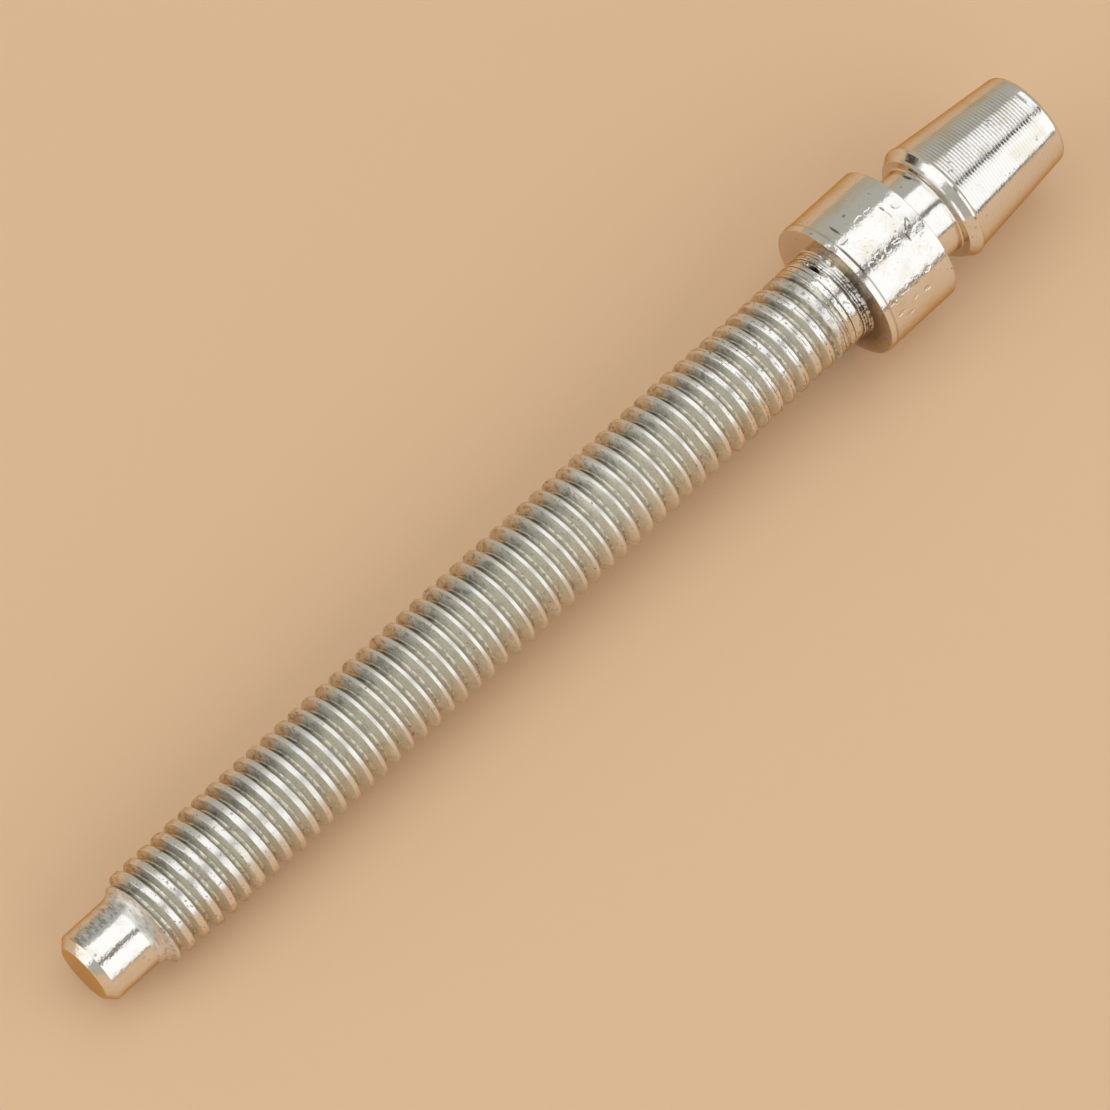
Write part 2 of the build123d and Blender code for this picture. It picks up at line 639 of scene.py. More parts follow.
# Dents and nicks: station, angle from the top towards -Y in degrees, half length round
# the screw, half width along it, depth, and lean from square in degrees, lengths in mm.
# A negative depth is a raised burr.
DENTS = [
    (56.30, -23.0, 0.15, 0.12, 0.100, 0.0),
    (56.30, -18.0, 0.13, 0.14, 0.120, 10.0),
    (56.32, -13.0, 0.14, 0.12, 0.100, -10.0),
    (56.28, -9.5, 0.12, 0.15, 0.110, 0.0),
    (56.32, -5.5, 0.14, 0.12, 0.100, 0.0),
    (56.30, -2.0, 0.12, 0.10, -0.070, 0.0),
    (56.34, 2.0, 0.14, 0.12, -0.080, 15.0),
    (56.45, 5.0, 0.12, 0.10, 0.070, 0.0),
    (55.46, -20.5, 0.72, 0.110, 0.300, 0.0),
    (58.45, -6.9, 0.14, 0.20, 0.014, 0.0),
    (59.30, -6.0, 0.16, 0.26, 0.014, 0.0),
    (57.25, 23.0, 0.16, 0.20, 0.016, 0.0),
    (58.00, 20.5, 0.18, 0.14, 0.020, 20.0),
    (58.75, 24.0, 0.16, 0.22, 0.018, 0.0),
    (59.25, 22.0, 0.18, 0.16, 0.020, -20.0),
    (60.35, 26.0, 0.20, 0.14, 0.018, 0.0),
    (60.75, 1.5, 0.26, 0.14, 0.016, 10.0),
    (59.90, 51.5, 0.20, 0.28, 0.016, 0.0),
    (58.80, 54.0, 0.16, 0.22, 0.012, 0.0),
    (57.80, 53.0, 0.18, 0.20, 0.012, 0.0),
    (58.10, 60.0, 0.12, 0.40, 0.010, 0.0),
    (59.50, 66.0, 0.12, 0.40, 0.010, 0.0),
    (63.20, -26.0, 0.30, 0.10, 0.050, 10.0),
    (70.55, 30.0, 0.22, 0.12, 0.030, 20.0),
    (70.80, 37.0, 0.26, 0.10, 0.035, -10.0),
    (70.45, 63.0, 0.26, 0.16, 0.030, 0.0),
    (70.95, 0.0, 0.30, 0.12, 0.030, 0.0),
    (2.05, -13.0, 0.16, 0.14, 0.014, 0.0),
    (2.75, -16.0, 0.18, 0.10, 0.016, 0.0),
    (1.35, -12.0, 0.16, 0.10, 0.012, 0.0),
    (3.55, -23.0, 0.34, 0.20, 0.090, 0.0),
]


# Finer marks, in the plate alone: station, angle from the top towards -Y in degrees, half
# length round the screw at the collar's radius, half width along it, lean from square in
# degrees, depth and share of dirt, lengths in mm.
MARKS = [
    (57.30, -15.6, 0.47, 0.10, 0.0, 0.030, 0.85),
    (58.34, -19.8, 0.16, 0.14, 40.0, 0.020, 0.60),
    (58.65, -9.0, 0.14, 0.34, 0.0, 0.020, 0.10),
    (59.35, -9.0, 0.14, 0.28, 0.0, 0.022, 0.10),
    (57.10, -4.0, 0.22, 0.34, 0.0, 0.020, 0.15),
    (60.00, -3.0, 0.26, 0.08, 0.0, 0.020, 0.70),
    (60.04, 4.0, 0.36, 0.04, 0.0, 0.008, 0.35),
    (60.70, 1.7, 0.34, 0.32, 0.0, 0.024, 0.05),
    (60.26, 17.5, 0.56, 0.08, -47.0, 0.022, 0.75),
    (60.56, 16.0, 0.24, 0.06, 0.0, 0.018, 0.70),
    (59.91, 24.7, 0.32, 0.08, 0.0, 0.022, 0.75),
    (57.30, 22.5, 0.30, 0.24, 30.0, 0.024, 0.35),
    (57.90, 21.5, 0.26, 0.30, 0.0, 0.024, 0.15),
    (58.55, 22.5, 0.28, 0.26, -30.0, 0.024, 0.30),
    (59.25, 22.0, 0.16, 0.34, 0.0, 0.020, 0.20),
    (60.75, 25.0, 0.26, 0.40, 0.0, 0.022, 0.15),
    (60.60, 30.0, 0.12, 0.22, 0.0, 0.010, 0.20),
    (58.85, 39.0, 0.50, 0.40, 30.0, 0.007, 0.05),
    (57.05, 55.0, 0.12, 0.34, 0.0, 0.020, 0.25),
    (58.00, 54.5, 0.10, 0.44, 0.0, 0.018, 0.30),
    (59.75, 53.0, 0.22, 0.28, 0.0, 0.024, 0.05),
    (57.27, 68.0, 0.12, 0.42, 0.0, 0.026, 0.0),
    (58.40, 65.4, 0.10, 0.26, 0.0, 0.024, 0.0),
    (59.30, 66.3, 0.18, 0.30, 0.0, 0.036, 0.0),
    (57.85, 74.5, 0.12, 0.40, 0.0, 0.026, 0.0),
    (55.46, -20.5, 0.92, 0.15, 0.0, 0.010, 0.97),
]


def knock_dents(body):
    """Press the dents of handling into the surface, away from the middles of the end faces."""
    smallest_radius = 1.0 * MM
    farthest = 2.0
    for vertex in body.data.vertices:
        x, y, station = vertex.co
        radius = math.hypot(x, y)
        if radius < smallest_radius:
            continue
        around = math.atan2(y, x)
        push = 0.0
        for dent_station, degrees, half_length, half_width, depth, lean in DENTS:
            across = station / MM - dent_station
            round_it = (around - math.radians(degrees)) * radius / MM
            if max(abs(across), abs(round_it)) > farthest:
                continue
            cosine = math.cos(math.radians(lean))
            sine = math.sin(math.radians(lean))
            long_way = round_it * cosine + across * sine
            short_way = across * cosine - round_it * sine
            push += depth * math.exp(-(long_way / half_length) ** 2
                                     - (short_way / half_width) ** 2)
        scale = (radius - push * MM) / radius
        vertex.co = (x * scale, y * scale, station)


def roughen_shank(body, scene):
    """Make the shank's rings uneven and leave a ragged burr where it meets the collar."""
    start = CUT_SHANK + 0.08 * MM
    collar_start = scene.screw_collar.start
    reach = scene.screw_thread.shank_radius + 0.2 * MM
    uneven = 0.010 * MM
    burr_height = 0.09 * MM
    farthest_drift = 0.035 * MM
    for vertex in body.data.vertices:
        x, y, station = vertex.co
        radius = math.hypot(x, y)
        if not start < station < collar_start + 0.01 * MM or radius > reach:
            continue
        fade = min(1.0, (station - start) / (0.2 * MM))
        burr = smooth_step(station, collar_start - 0.16 * MM, collar_start - 0.06 * MM)
        swell = uneven * ripple(x, y, station, 0.9, 5.0) * fade
        swell += burr_height * burr * max(0.0, ripple(x, y, station, 3.0, 9.0))
        scale = (radius + swell) / radius
        drift = farthest_drift * ripple(x, y, 0.0, 0.35, 2.0) * fade * (1.0 - burr)
        vertex.co = (x * scale, y * scale, station + drift)


def adjustment_screw(scene):
    """The whole screw as one closed mesh, lying where the frame has it."""
    body = join_parts([rolled_thread(scene), turned_tip(scene), turned_head(scene)])
    body.name = "finished_screw"
    roughen_shank(body, scene)
    knock_dents(body)
    body.matrix_world = resting_place(scene)
    select_only(body)
    bpy.ops.object.transform_apply(location=True, rotation=True, scale=True)
    bpy.ops.object.shade_smooth_by_angle(angle=math.radians(42.0))
    apply_modifier(body, "WEIGHTED_NORMAL", mode="FACE_AREA", keep_sharp=True)
    return body


# ---------------------------------------------------------------------------
# Zinc plate
# ---------------------------------------------------------------------------

class NodeBench:
    """Adds shader nodes to the tree of one material or world and links them."""

    def __init__(self, owner):
        owner.use_nodes = True
        self.tree = owner.node_tree

    def fill(self, node, inputs):
        """Set a node's inputs to values, or link them to other nodes' outputs."""
        for key, value in inputs.items():
            if isinstance(value, bpy.types.NodeSocket):
                self.tree.links.new(value, node.inputs[key])
            else:
                node.inputs[key].default_value = value

    def add(self, kind, inputs, **settings):
        """A new node with its inputs and settings."""
        node = self.tree.nodes.new("ShaderNode" + kind)
        for key, value in settings.items():
            setattr(node, key, value)
        self.fill(node, inputs)
        return node

    def maths(self, operation, *inputs):
        """The output of a Math node."""
        return self.add("Math", dict(enumerate(inputs)), operation=operation).outputs[0]

    def product(self, first, *others):
        """The product of two or more shares."""
        for other in others:
            first = self.maths("MULTIPLY", first, other)
        return first

    def remap(self, value, low, high, to_low=0.0, to_high=1.0):
        """The output of a clamped, smooth Map Range node."""
        node = self.add("MapRange", {"Value": value, "From Min": low, "From Max": high,
                                     "To Min": to_low, "To Max": to_high},
                        interpolation_type="SMOOTHSTEP")
        return node.outputs["Result"]

    def band(self, value, rise, risen, fall, fallen, outside=0.0):
        """1 between two smooth ramps of a value, and a lower share outside them."""
        return self.product(self.remap(value, rise, risen, outside, 1.0),
                            self.remap(value, fall, fallen, 1.0, outside))

    def line(self, value, middle, inner, outer, share=1.0):
        """A share within an inner distance of a middle value, fading out at an outer one."""
        away = self.maths("ABSOLUTE", self.maths("SUBTRACT", value, middle))
        return self.remap(away, inner, outer, share, 0.0)

    def blend(self, share, first, second):
        """The output of a MixRGB node, between colours or other nodes' outputs."""
        first, second = (value if isinstance(value, bpy.types.NodeSocket) else (*value, 1.0)
                         for value in (first, second))
        mixed = self.add("MixRGB", {"Fac": share, "Color1": first, "Color2": second})
        return mixed.outputs["Color"]

    def noise(self, vector, per_mm, detail=2.0, roughness=0.5, distortion=0.0):
        """A Noise texture's value, per_mm waves in a millimetre."""
        node = self.add("TexNoise", {"Vector": vector, "Scale": per_mm, "Detail": detail,
                                     "Roughness": roughness, "Distortion": distortion})
        return node.outputs["Fac"]

    def mapped(self, vector, kind="POINT", **inputs):
        """The output of a Mapping node."""
        inputs = {key.title(): value for key, value in inputs.items()}
        return self.add("Mapping", {"Vector": vector, **inputs}, vector_type=kind).outputs["Vector"]


def plain_material(name, base, roughness, specular):
    """A material of one colour and one gloss."""
    material = bpy.data.materials.new(name)
    bench = NodeBench(material)
    bench.fill(bench.tree.nodes["Principled BSDF"], {
        "Base Color": (*base, 1.0), "Roughness": roughness, "Specular IOR Level": specular})
    return material


def upright_place(bench, scene):
    """Place on the upright screw in millimetres, tip at the origin and +Z along the axis."""
    place = resting_place(scene).inverted()
    where = bench.add("TexCoord", {}).outputs["Object"]
    return bench.mapped(where, location=place.to_translation() / MM, rotation=place.to_euler(),
                        scale=(1.0 / MM, 1.0 / MM, 1.0 / MM))


def measure_place(bench, place):
    """Station in millimetres, turns round the axis from the top, and distance from the axis."""
    split = bench.add("SeparateXYZ", {"Vector": place}).outputs
    turn = bench.maths("DIVIDE", bench.maths("ARCTAN2", split["Y"], split["X"]), math.tau)
    squared = bench.product(split["Y"], split["Y"])
    reach = bench.maths("SQRT", bench.maths("MULTIPLY_ADD", split["X"], split["X"], squared))
    return split["Z"], turn, reach


def thread_zones(bench, thread, station, turn):
    """Shares of the thread's crests, flanks and roots, found from its helix.

    Stations are in millimetres, offsets from a crest in pitches and turns from the top.
    """
    start = thread.start / MM
    run_out = thread.run_out_start / MM
    faded_out = thread.run_out_end / MM
    along = bench.maths("DIVIDE", bench.maths("SUBTRACT", station, thread.lead / MM),
                        thread.pitch / MM)
    phase = bench.maths("FRACT", bench.maths("SUBTRACT", bench.maths("ADD", along, 0.5), turn))
    signed = bench.maths("SUBTRACT", phase, 0.5)
    offset = bench.maths("ABSOLUTE", signed)
    wider = bench.maths("ADD", bench.remap(
        station, thread.tip_widening_start / MM, thread.tip_widening_end / MM,
        thread.tip_widening / thread.pitch, 0.0), bench.remap(
        station, thread.shank_widening_start / MM, thread.shank_widening_end / MM,
        0.0, thread.shank_widening / thread.pitch))
    beyond = bench.maths("SUBTRACT", offset, wider)
    flat = thread.crest_half_width / thread.pitch
    rolled = bench.band(station, start - 0.4, start + 0.1, faded_out - 0.7, faded_out)
    groove = bench.product(bench.remap(beyond, flat + 0.01, flat + 0.05), rolled)
    late = bench.band(station, thread.waist / MM, 49.0, run_out, run_out + 0.7)
    ends = bench.maths("ADD", bench.remap(station, thread.tip_widening_start / MM, 14.0, 1.0, 0.3),
                       bench.remap(station, 42.0, 49.0, 0.0, 0.7))
    return SimpleNamespace(
        groove=groove,
        root=bench.product(bench.remap(offset, 0.39, 0.45), rolled),
        valley=bench.product(bench.remap(offset, 0.30, 0.38), rolled),
        shaded=bench.product(bench.remap(signed, 0.02, 0.08), groove,
                             bench.remap(turn, -0.03, 0.04, 1.0, 0.6)),
        # Painted shade: the head-side flanks in a band on the upper side, where the grooves look dark.
        pocket_shade=bench.product(bench.remap(signed, 0.10, 0.2), groove,
                             bench.band(turn, -0.12, -0.09, -0.065, -0.03)),
        # Painted shade: the flanks on the screw's upper side, fading to 0.3 on the lower side.
        upper=bench.product(bench.remap(turn, -0.05, 0.02, 1.0, 0.30), groove),
        # Painted reflection: a band of the flanks on the far upper side, where the warm floor is
        # mirrored.
        ochre_reflection=bench.product(bench.band(turn, -0.27, -0.20, -0.13, -0.085), groove),
        seam=bench.product(bench.line(signed, -0.02, 0.010, 0.030), late),
        threaded=bench.band(station, start - 0.2, start + 0.2, run_out - 0.3, faded_out - 0.4),
        middle=bench.band(station, 7.0, 14.0, 40.0, 48.0),
        faded=bench.band(station, run_out + 0.15, run_out + 0.35, run_out + 0.80, run_out + 0.92),
        ends=bench.product(ends, bench.band(station, start - 0.5, start + 0.1,
                                            faded_out + 0.9, faded_out + 1.4)))


def turned_zones(bench, scene, station, turn, reach):
    """Shares of the dog point, the shank's end, the collar and the head.

    Stations and distances from the axis are in millimetres, and turns from the top.
    """
    collar = scene.screw_collar
    head = scene.screw_head
    chamfer = scene.screw_dog.chamfer / MM
    sweep = scene.screw_dog.sweep_start / MM
    start = scene.screw_thread.start / MM
    front = collar.start / MM
    back = front + collar.length / MM
    land_end = front + collar.land_length / MM
    under = back + head.neck_length / MM
    end = head.end_station / MM
    on_tip = bench.remap(station, sweep - 0.2, sweep + 0.4, 1.0, 0.0)
    wave = bench.maths("SINE", bench.product(station, math.tau * MM / head.feed))
    ridged = bench.product(bench.remap(station, under + 0.72, under + 1.07),
                           bench.remap(station, end - 1.15, end - 0.75, 1.0, 0.2),
                           bench.band(turn, -0.085, -0.02, 0.068, 0.085, 0.2))
    return SimpleNamespace(
        on_tip=on_tip,
        # Painted shade: random dark streaks on the dog point, kept to a band on its upper side.
        upper_streak_shade=bench.product(bench.band(turn, -0.15, -0.09, -0.045, -0.025), on_tip,
                              bench.remap(station, chamfer - 0.13, chamfer + 0.07)),
        flare=bench.band(station, sweep, sweep + 0.16, start, start + 0.3),
        burr=bench.product(bench.band(station, front - 0.57, front - 0.47, front + 0.05, front + 0.15),
                           bench.remap(reach, 2.93, 3.0, 1.0, 0.0), bench.remap(turn, 0.01, 0.05)),
        # Painted shadow: the collar's front face, darkest next to the shank and on the lower side.
        face=bench.product(bench.maths("COMPARE", station, front - 0.03, 0.05),
                           bench.remap(reach, 2.9, 3.0), bench.remap(reach, 3.0, 4.3, 0.75, 0.25),
                           bench.remap(turn, -0.03, 0.02, 0.15, 1.0)),
        # Painted shade: a dark line on the step down from the collar's land, fainter on the upper and
        # lower sides.
        land=bench.product(bench.line(station, land_end + 0.04, 0.05, 0.11),
                           bench.remap(turn, -0.02, 0.01, 0.2, 1.0),
                           bench.remap(turn, 0.058, 0.075, 1.0, 0.3)),
        on_collar=bench.maths("COMPARE", station, (front + back) / 2, (back - front) / 2 + 0.05),
        calm=bench.remap(station, back - 0.05, back + 0.35, 1.0, 0.5),
        rings=bench.product(wave, ridged),
        dark_rings=bench.product(bench.remap(wave, 0.0, 1.0), ridged),
        worn_end=bench.remap(station, end - 1.75, end - 1.05))


# Thin dark rings of the run-out and the shank: station, half width and share of darkening, mm.
DARK_RINGS = [(54.21, 0.045, 0.75), (54.63, 0.035, 0.60), (54.99, 0.045, 0.75), (55.66, 0.05, 0.8)]

# How far the outlines of the rings and of the handling marks waver, in mm.
RING_WAVER = 0.16
MARK_WAVER = 0.30


def dark_rings_mask(bench, station, wobble):
    """Share of darkening in the shank's thin rings, their stations wavering a little."""
    wavering = bench.maths("MULTIPLY_ADD", wobble, RING_WAVER, station)
    darkening = 0.0
    for ring, half_width, share in DARK_RINGS:
        line = bench.line(wavering, ring + RING_WAVER / 2, 0.3 * half_width, half_width, share)
        darkening = bench.maths("MAXIMUM", line, darkening)
    return darkening


def handling_marks(bench, collar, station, turn, wobble):
    """Depth and dirt of the marks in the table, their outlines wavering a little."""
    radius = collar.radius / MM
    around = bench.product(turn, math.tau * radius)
    around = bench.maths("MULTIPLY_ADD", wobble, MARK_WAVER, around)
    skin = bench.add("CombineXYZ", {"X": around, "Y": station}).outputs["Vector"]
    depth = 0.0
    darkening = 0.0
    for mark_station, degrees, half_length, half_width, lean, sunk, dirty in MARKS:
        centre = (math.radians(degrees) * radius + MARK_WAVER / 2, mark_station, 0.0)
        spot = bench.mapped(skin, "TEXTURE", location=centre, scale=(half_length, half_width, 1.0),
                            rotation=(0.0, 0.0, math.radians(lean)))
        away = bench.add("VectorMath", {0: spot}, operation="LENGTH").outputs["Value"]
        share = bench.remap(away, 0.40, 1.05, 1.0, 0.0)
        depth = bench.maths("MULTIPLY_ADD", share, sunk, depth)
        darkening = bench.maths("MAXIMUM", bench.product(share, dirty), darkening)
    return depth, darkening


def scratch_lines(bench, place):
    """Fine scratches in one direction, in patches."""
    lined = bench.mapped(place, rotation=(0.5, 0.9, 0.3), scale=(0.22, 1.0, 1.0))
    scratches = bench.line(bench.noise(lined, 3.0, 1.0, 0.5, 0.4), 0.5, 0.0, 0.012)
    return bench.product(scratches, bench.remap(bench.noise(place, 0.9, 1.0), 0.52, 0.62))


def plate_pits(bench, place):
    """Small round pits, in patches."""
    cells = bench.add("TexVoronoi", {"Vector": place, "Scale": 2.4, "Randomness": 1.0}, feature="F1")
    return bench.product(bench.remap(cells.outputs["Distance"], 0.10, 0.26, 1.0, 0.0),
                         bench.remap(bench.noise(place, 1.1, 2.0, 0.6), 0.54, 0.64))


def zinc_plate(scene):
    """Bright zinc over tool marks: grain, scores, scratches, pits, seams and stains, with painted
    shade and painted reflections in its colour.
    """
    finish = scene.screw_finish
    material = bpy.data.materials.new("zinc_plate")
    bench = NodeBench(material)
    place = upright_place(bench, scene)
    station, turn, reach = measure_place(bench, place)
    thread = thread_zones(bench, scene.screw_thread, station, turn)
    turned = turned_zones(bench, scene, station, turn, reach)

    ringed = bench.mapped(place, scale=(0.28, 0.28, 1.0))
    scores = bench.noise(ringed, 4.5, 3.0, 0.6)
    mottle = bench.noise(ringed, 6.0, 3.0, 0.7)
    cloud = bench.noise(place, 0.35, 2.0)
    grain = bench.noise(place, 1.5, 3.0, 0.5)
    fine_grain = bench.noise(place, 6.0, 2.0, 0.5)
    ragged = bench.noise(place, 3.2, 3.0, 0.6)
    wobble = bench.noise(place, 3.6, 1.0)
    frost = bench.noise(place, 11.0, 2.0, 0.6)
    crumbs = bench.noise(place, 5.0, 2.0, 0.6)
    stains = bench.remap(bench.noise(place, 0.7, 3.0, 0.6), 0.50, 0.68)
    scratches = scratch_lines(bench, place)
    pits = plate_pits(bench, place)
    specks = bench.product(bench.remap(bench.noise(place, 4.5, 2.0, 0.6), 0.60, 0.68), thread.ends)
    seam = bench.product(thread.seam, bench.remap(bench.noise(place, 2.6, 1.0), 0.44, 0.52))
    rings = bench.product(turned.rings, bench.remap(cloud, 0.3, 0.6, 0.6, 1.0))
    mark_depth, mark_dirt = handling_marks(bench, scene.screw_collar, station, turn, wobble)
    ring_darkening = dark_rings_mask(bench, station, wobble)

    height = bench.product(grain, turned.calm, finish.grain_depth / MM)
    for share, depth in (
            (fine_grain, 0.16 * finish.grain_depth),
            (bench.product(scores, turned.calm), finish.score_depth),
            (bench.product(ragged, turned.on_collar), 0.45 * finish.grain_depth),
            (bench.product(ragged, turned.on_tip), 0.90 * finish.grain_depth),
            (bench.product(ragged, turned.worn_end), 0.80 * finish.grain_depth),
            (bench.product(ragged, thread.valley), 1.2 * finish.grain_depth),
            (mark_depth, -MM),
            (scratches, -finish.scratch_depth),
            (pits, -finish.pit_depth),
            (rings, finish.feed_depth),
            (specks, -finish.speck_depth)):
        height = bench.maths("MULTIPLY_ADD", share, depth / MM, height)
    bump = bench.add("Bump", {"Height": height, "Strength": 1.0, "Distance": MM})

    dull = finish.roughness
    for share, duller in (
            (bench.remap(cloud, 0.40, 0.66), 0.05), (pits, 0.20), (specks, 0.20), (scratches, 0.10),
            (thread.threaded, 0.14), (thread.middle, 0.10),
            (thread.groove, finish.groove_roughness - 0.34), (thread.root, -0.14),
            (thread.faded, 0.18), (turned.flare, 0.30), (turned.burr, 0.20), (turned.face, 0.25)):
        dull = bench.maths("MULTIPLY_ADD", share, duller, dull)

    tint = finish.zinc
    for share, coat in (
            (bench.product(stains, 0.6), finish.stain),
            (thread.groove, finish.groove),
            (bench.product(thread.root, 0.8), finish.root),
            (bench.product(thread.root, bench.remap(wobble, 0.46, 0.60, 0.0, 0.6)), finish.grit_and_shade),
            # Painted shade: the upper flanks tinted grey-blue, and below, mottled darker.
            (bench.product(thread.upper, 0.6), finish.upper),
            # Painted ochre reflection of the floor on the far upper flanks.
            (bench.product(thread.ochre_reflection, 0.85), finish.ochre_reflection),
            (bench.product(thread.groove, bench.remap(frost, 0.42, 0.62, 0.0, 0.16)), finish.grit_and_shade),
            (bench.product(thread.upper, bench.remap(mottle, 0.48, 0.64, 0.0, 0.42)), finish.grit_and_shade),
            (bench.product(thread.groove, bench.remap(mottle, 0.36, 0.50, 0.45, 0.0)), finish.cream)):
        tint = bench.blend(share, tint, coat)
    # Darkening: dirt in the run-out, the flare, the burr, the head's dull rings, the marks, the pits,
    # the specks and the seams; painted shade on the upper flanks, in the pockets, in the dog's upper
    # streaks, on the head-side flanks, on the collar's front face and on the land's step; plain
    # darkening in the shank's thin rings.
    for darkening in (
            # Painted shade on the upper flanks.
            bench.product(thread.upper, 0.12),
            # Painted shade in the grooves' pockets on the upper side.
            bench.product(thread.pocket_shade, bench.remap(mottle, 0.38, 0.58, 0.35, 0.9)),
            bench.product(thread.faded, bench.remap(mottle, 0.44, 0.62, 0.0, 0.35)),
            bench.product(turned.flare, bench.remap(mottle, 0.44, 0.62, 0.0, 0.30)),
            # Painted streaky shade on the dog point's upper side.
            bench.product(turned.upper_streak_shade, bench.remap(mottle, 0.44, 0.60, 0.0, 0.55)),
            bench.product(turned.burr, bench.remap(crumbs, 0.40, 0.54, 0.9, 0.1)),
            bench.product(thread.shaded, 0.5),
            bench.product(turned.dark_rings, 0.42),
            # Painted shadow on the collar's front face.
            turned.face,
            # Painted shade along the land's step.
            bench.product(turned.land, 0.85),
            bench.maths("MAXIMUM", mark_dirt, ring_darkening),
            bench.product(pits, 0.45),
            bench.product(specks, bench.maths("SUBTRACT", 1.0, thread.groove), 0.5),
            bench.product(seam, 0.85)):
        tint = bench.blend(darkening, tint, finish.grit_and_shade)

    # The edge tint paints an ochre reflection at the outline.
    bench.fill(bench.tree.nodes["Principled BSDF"], {
        "Metallic": 1.0, "Specular Tint": (*finish.edge_reflection_tint, 1.0), "Base Color": tint,
        "Roughness": dull, "Normal": bump.outputs["Normal"]})
    return material


# ---------------------------------------------------------------------------
# Stage
# ---------------------------------------------------------------------------

# Soft lamps round the screw: name, heading from +X towards +Y and height in degrees,
# distance, width, height and radiance, lengths in metres.
SOFTBOXES = [
    ("softbox_front", -72.0, 30.8, 0.50, 0.80, 0.465, 0.70),
    ("softbox_tip", 157.0, 27.0, 0.50, 0.38, 0.52, 0.80),
]

# Dark cards, seen only as dark reflections: name, heading and height in degrees, distance,
# width and height in metres, lean in degrees and colour.
CARDS = [
    ("card_between", -68.0, 62.0, 0.62, 0.60, 0.14, 0.0, (0.46, 0.51, 0.60)),
    ("card_head", -33.3, 53.1, 0.464, 0.10, 0.07, -38.0, (0.15, 0.16, 0.18)),
    ("card_low", -72.0, 2.8, 0.52, 0.85, 0.022, 0.0, (0.05, 0.05, 0.05)),
    ("card_side", 121.0, 8.0, 0.50, 0.19, 0.22, 0.0, (0.09, 0.08, 0.06)),
]


def view_axes(stage):
    """The camera's right, up and forward directions."""
    right = Vector((math.cos(stage.heading), -math.sin(stage.heading), 0.0))
    level = Vector((math.sin(stage.heading), math.cos(stage.heading), 0.0))
    forward = level * math.cos(stage.elevation) - Vector((0, 0, 1)) * math.sin(stage.elevation)
    return right, right.cross(forward), forward


def set_camera(scene):
    """Camera above the screw, looking down on it across its axis."""
    stage = scene.screw_stage
    right, up, forward = view_axes(stage)
    aim = resting_place(scene) @ Vector((0.0, 0.0, stage.aim_station))
    aim = aim + right * stage.aim_right - up * stage.aim_down
    data = bpy.data.cameras.new("camera")
    data.lens = stage.lens
    data.sensor_width = 36.0
    data.clip_start = 0.01
    camera = bpy.data.objects.new("camera", data)
    scene.collection.objects.link(camera)
    camera.location = aim - forward * stage.distance
    camera.rotation_euler = Matrix((right, up, -forward)).transposed().to_euler()
    scene.camera = camera


def lay_floor(scene):
    """A plain floor under the screw."""
    bpy.ops.mesh.primitive_plane_add(size=3.0, location=(0.0, 0.0, 0.0))
    floor = bpy.context.object
    floor.name = "floor"
    floor.data.materials.append(plain_material("floor_paper", scene.screw_stage.floor, 0.9, 0.1))


def place_round_screw(thing, heading, height, distance, lean=0.0):
    """Put a thing round the screw, its -Z towards the origin, and lean it in its own plane."""
    heading = math.radians(heading)
    height = math.radians(height)
    place = Vector((math.cos(heading) * math.cos(height), math.sin(heading) * math.cos(height),
                    math.sin(height))) * distance
    thing.location = place
    aim = place.to_track_quat("Z", "Y").to_matrix()
    thing.rotation_euler = (aim @ Matrix.Rotation(math.radians(lean), 3, "Z")).to_euler()


def add_softbox(name, width, height, radiance):
    """A rectangular lamp that shines along its -Z."""
    data = bpy.data.lights.new(name, "AREA")
    data.shape = "RECTANGLE"
    data.size = width
    data.size_y = height
    data.energy = radiance * math.pi * width * height
    lamp = bpy.data.objects.new(name, data)
    bpy.context.scene.collection.objects.link(lamp)
    return lamp


def add_card(name, width, height, darkness):
    """A plain matt card of the stage."""
    bpy.ops.mesh.primitive_plane_add(size=1.0)
    card = bpy.context.object
    card.name = name
    card.scale = (width, height, 1.0)
    bpy.ops.object.transform_apply(location=False, rotation=False, scale=True)
    card.data.materials.append(plain_material(name, darkness, 1.0, 0.0))
    return card


def colour_studio(world, stage):
    """Colour the studio, warmer low down beyond the screw, where the floor tints it."""
    level = math.cos(stage.horizon_slant)
    slope = math.sin(stage.horizon_slant)
    away = view_axes(stage)[2].to_2d().normalized()
    bench = NodeBench(world)
    where = bench.add("TexCoord", {}).outputs["Generated"]
    height = bench.add("VectorMath", {0: where, 1: (*(away * -slope), level)},
                       operation="DOT_PRODUCT").outputs["Value"]
    share = bench.remap(height, -slope, slope)
    bench.fill(bench.tree.nodes["Background"],
               {"Color": bench.blend(share, stage.horizon, stage.surroundings)})


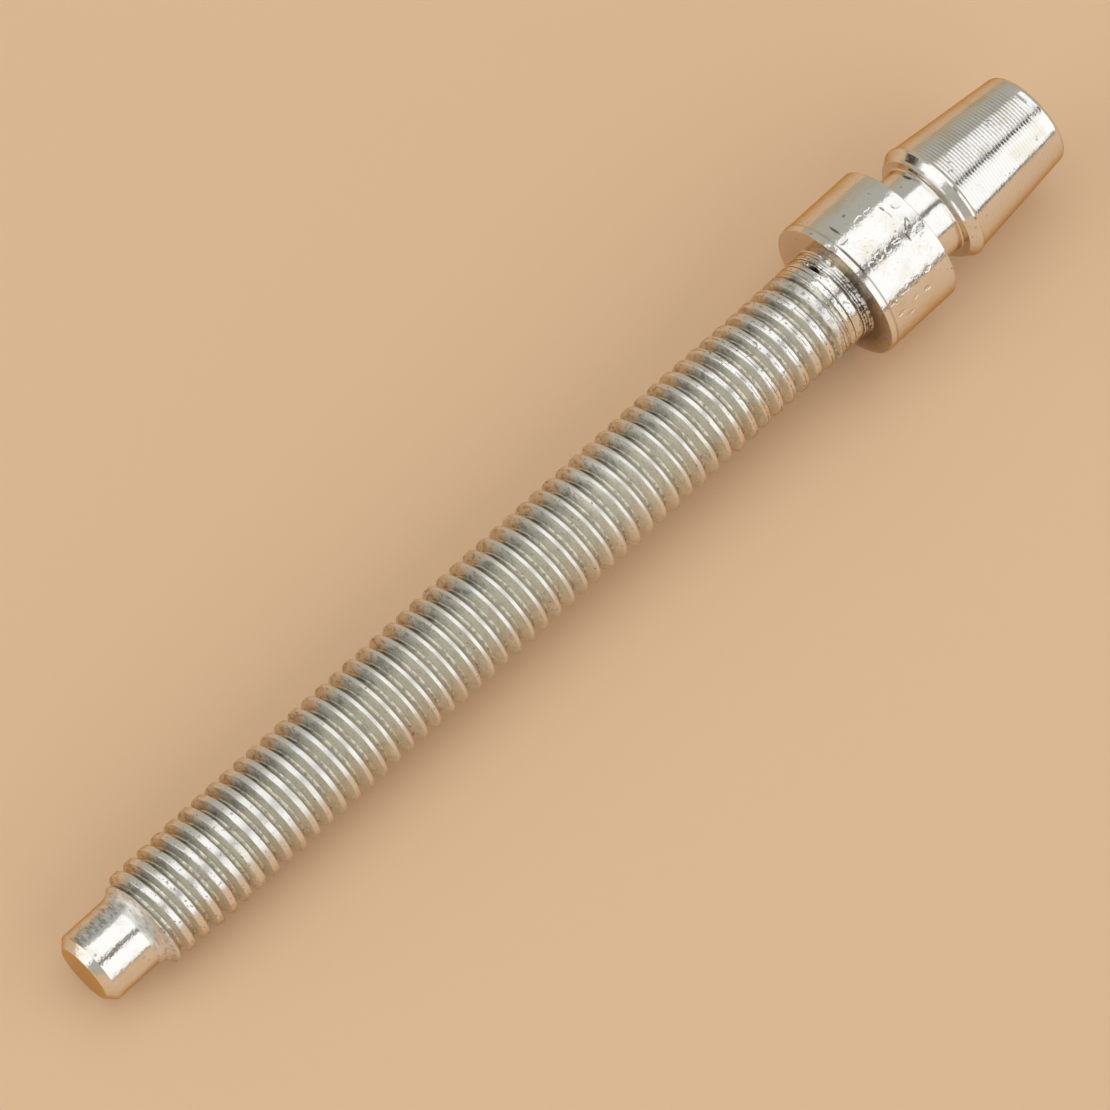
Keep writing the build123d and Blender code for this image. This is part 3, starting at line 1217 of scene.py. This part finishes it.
def light_stage(scene):
    """Three softboxes round the screw in an even studio, with dark edges between them."""
    scene.world = bpy.data.worlds.new("studio")
    colour_studio(scene.world, scene.screw_stage)
    overhead = add_softbox("softbox_over", 0.605, 0.495, 0.70)
    overhead.location = (0.103, 0.063, 0.50)
    overhead.rotation_euler = (0.0, 0.0, math.radians(2.0))
    for name, heading, height, distance, wide, high, radiance in SOFTBOXES:
        place_round_screw(add_softbox(name, wide, high, radiance), heading, height, distance)
    for name, heading, height, distance, wide, high, lean, darkness in CARDS:
        place_round_screw(add_card(name, wide, high, darkness), heading, height, distance, lean)
    scene.view_settings.view_transform = "Standard"


# ---------------------------------------------------------------------------
# Operators, panel and main
# ---------------------------------------------------------------------------

class MESH_OT_adjustment_screw(bpy.types.Operator):
    """Model the adjustment screw and give it its zinc plate"""
    bl_idname = "mesh.adjustment_screw_add"
    bl_label = "Adjustment screw"

    def execute(self, context):
        screw = adjustment_screw(context.scene)
        screw.data.materials.clear()
        screw.data.materials.append(zinc_plate(context.scene))
        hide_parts(SCREW_NODE)
        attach(screw, "root")
        return {"FINISHED"}


class SCENE_OT_screw_stage(bpy.types.Operator):
    """Lay the floor, hang the softboxes and set the camera"""
    bl_idname = "scene.screw_stage_add"
    bl_label = "Stage"

    def execute(self, context):
        lay_floor(context.scene)
        light_stage(context.scene)
        set_camera(context.scene)
        return {"FINISHED"}


class VIEW3D_PT_adjustment_screw(bpy.types.Panel):
    """Lists what the add-on makes"""
    bl_idname = "VIEW3D_PT_adjustment_screw"
    bl_label = "Adjustment screw"
    bl_space_type = "VIEW_3D"
    bl_region_type = "UI"
    bl_category = "Adjustment screw"

    def draw(self, context):
        layout = self.layout
        for operator in (MESH_OT_adjustment_screw, SCENE_OT_screw_stage):
            layout.operator(operator.bl_idname)
        for name, group in SETTINGS.items():
            box = layout.box()
            box.label(text=group.__doc__)
            for key in group.__annotations__:
                box.prop(getattr(context.scene, name), key)


CLASSES = [*SETTINGS.values(), MESH_OT_adjustment_screw, SCENE_OT_screw_stage,
           VIEW3D_PT_adjustment_screw]


def register():
    """Register the classes and hang the settings on the scene."""
    for item in CLASSES:
        bpy.utils.register_class(item)
    for name, group in SETTINGS.items():
        setattr(bpy.types.Scene, name, PointerProperty(type=group))


def unregister():
    """Take the settings off the scene and unregister the classes."""
    for name in SETTINGS:
        delattr(bpy.types.Scene, name)
    for item in reversed(CLASSES):
        bpy.utils.unregister_class(item)


def main():
    """Make the screw and its stage."""
    register()
    bpy.ops.mesh.adjustment_screw_add()
    bpy.ops.scene.screw_stage_add()


if __name__ == "__main__":
    main()
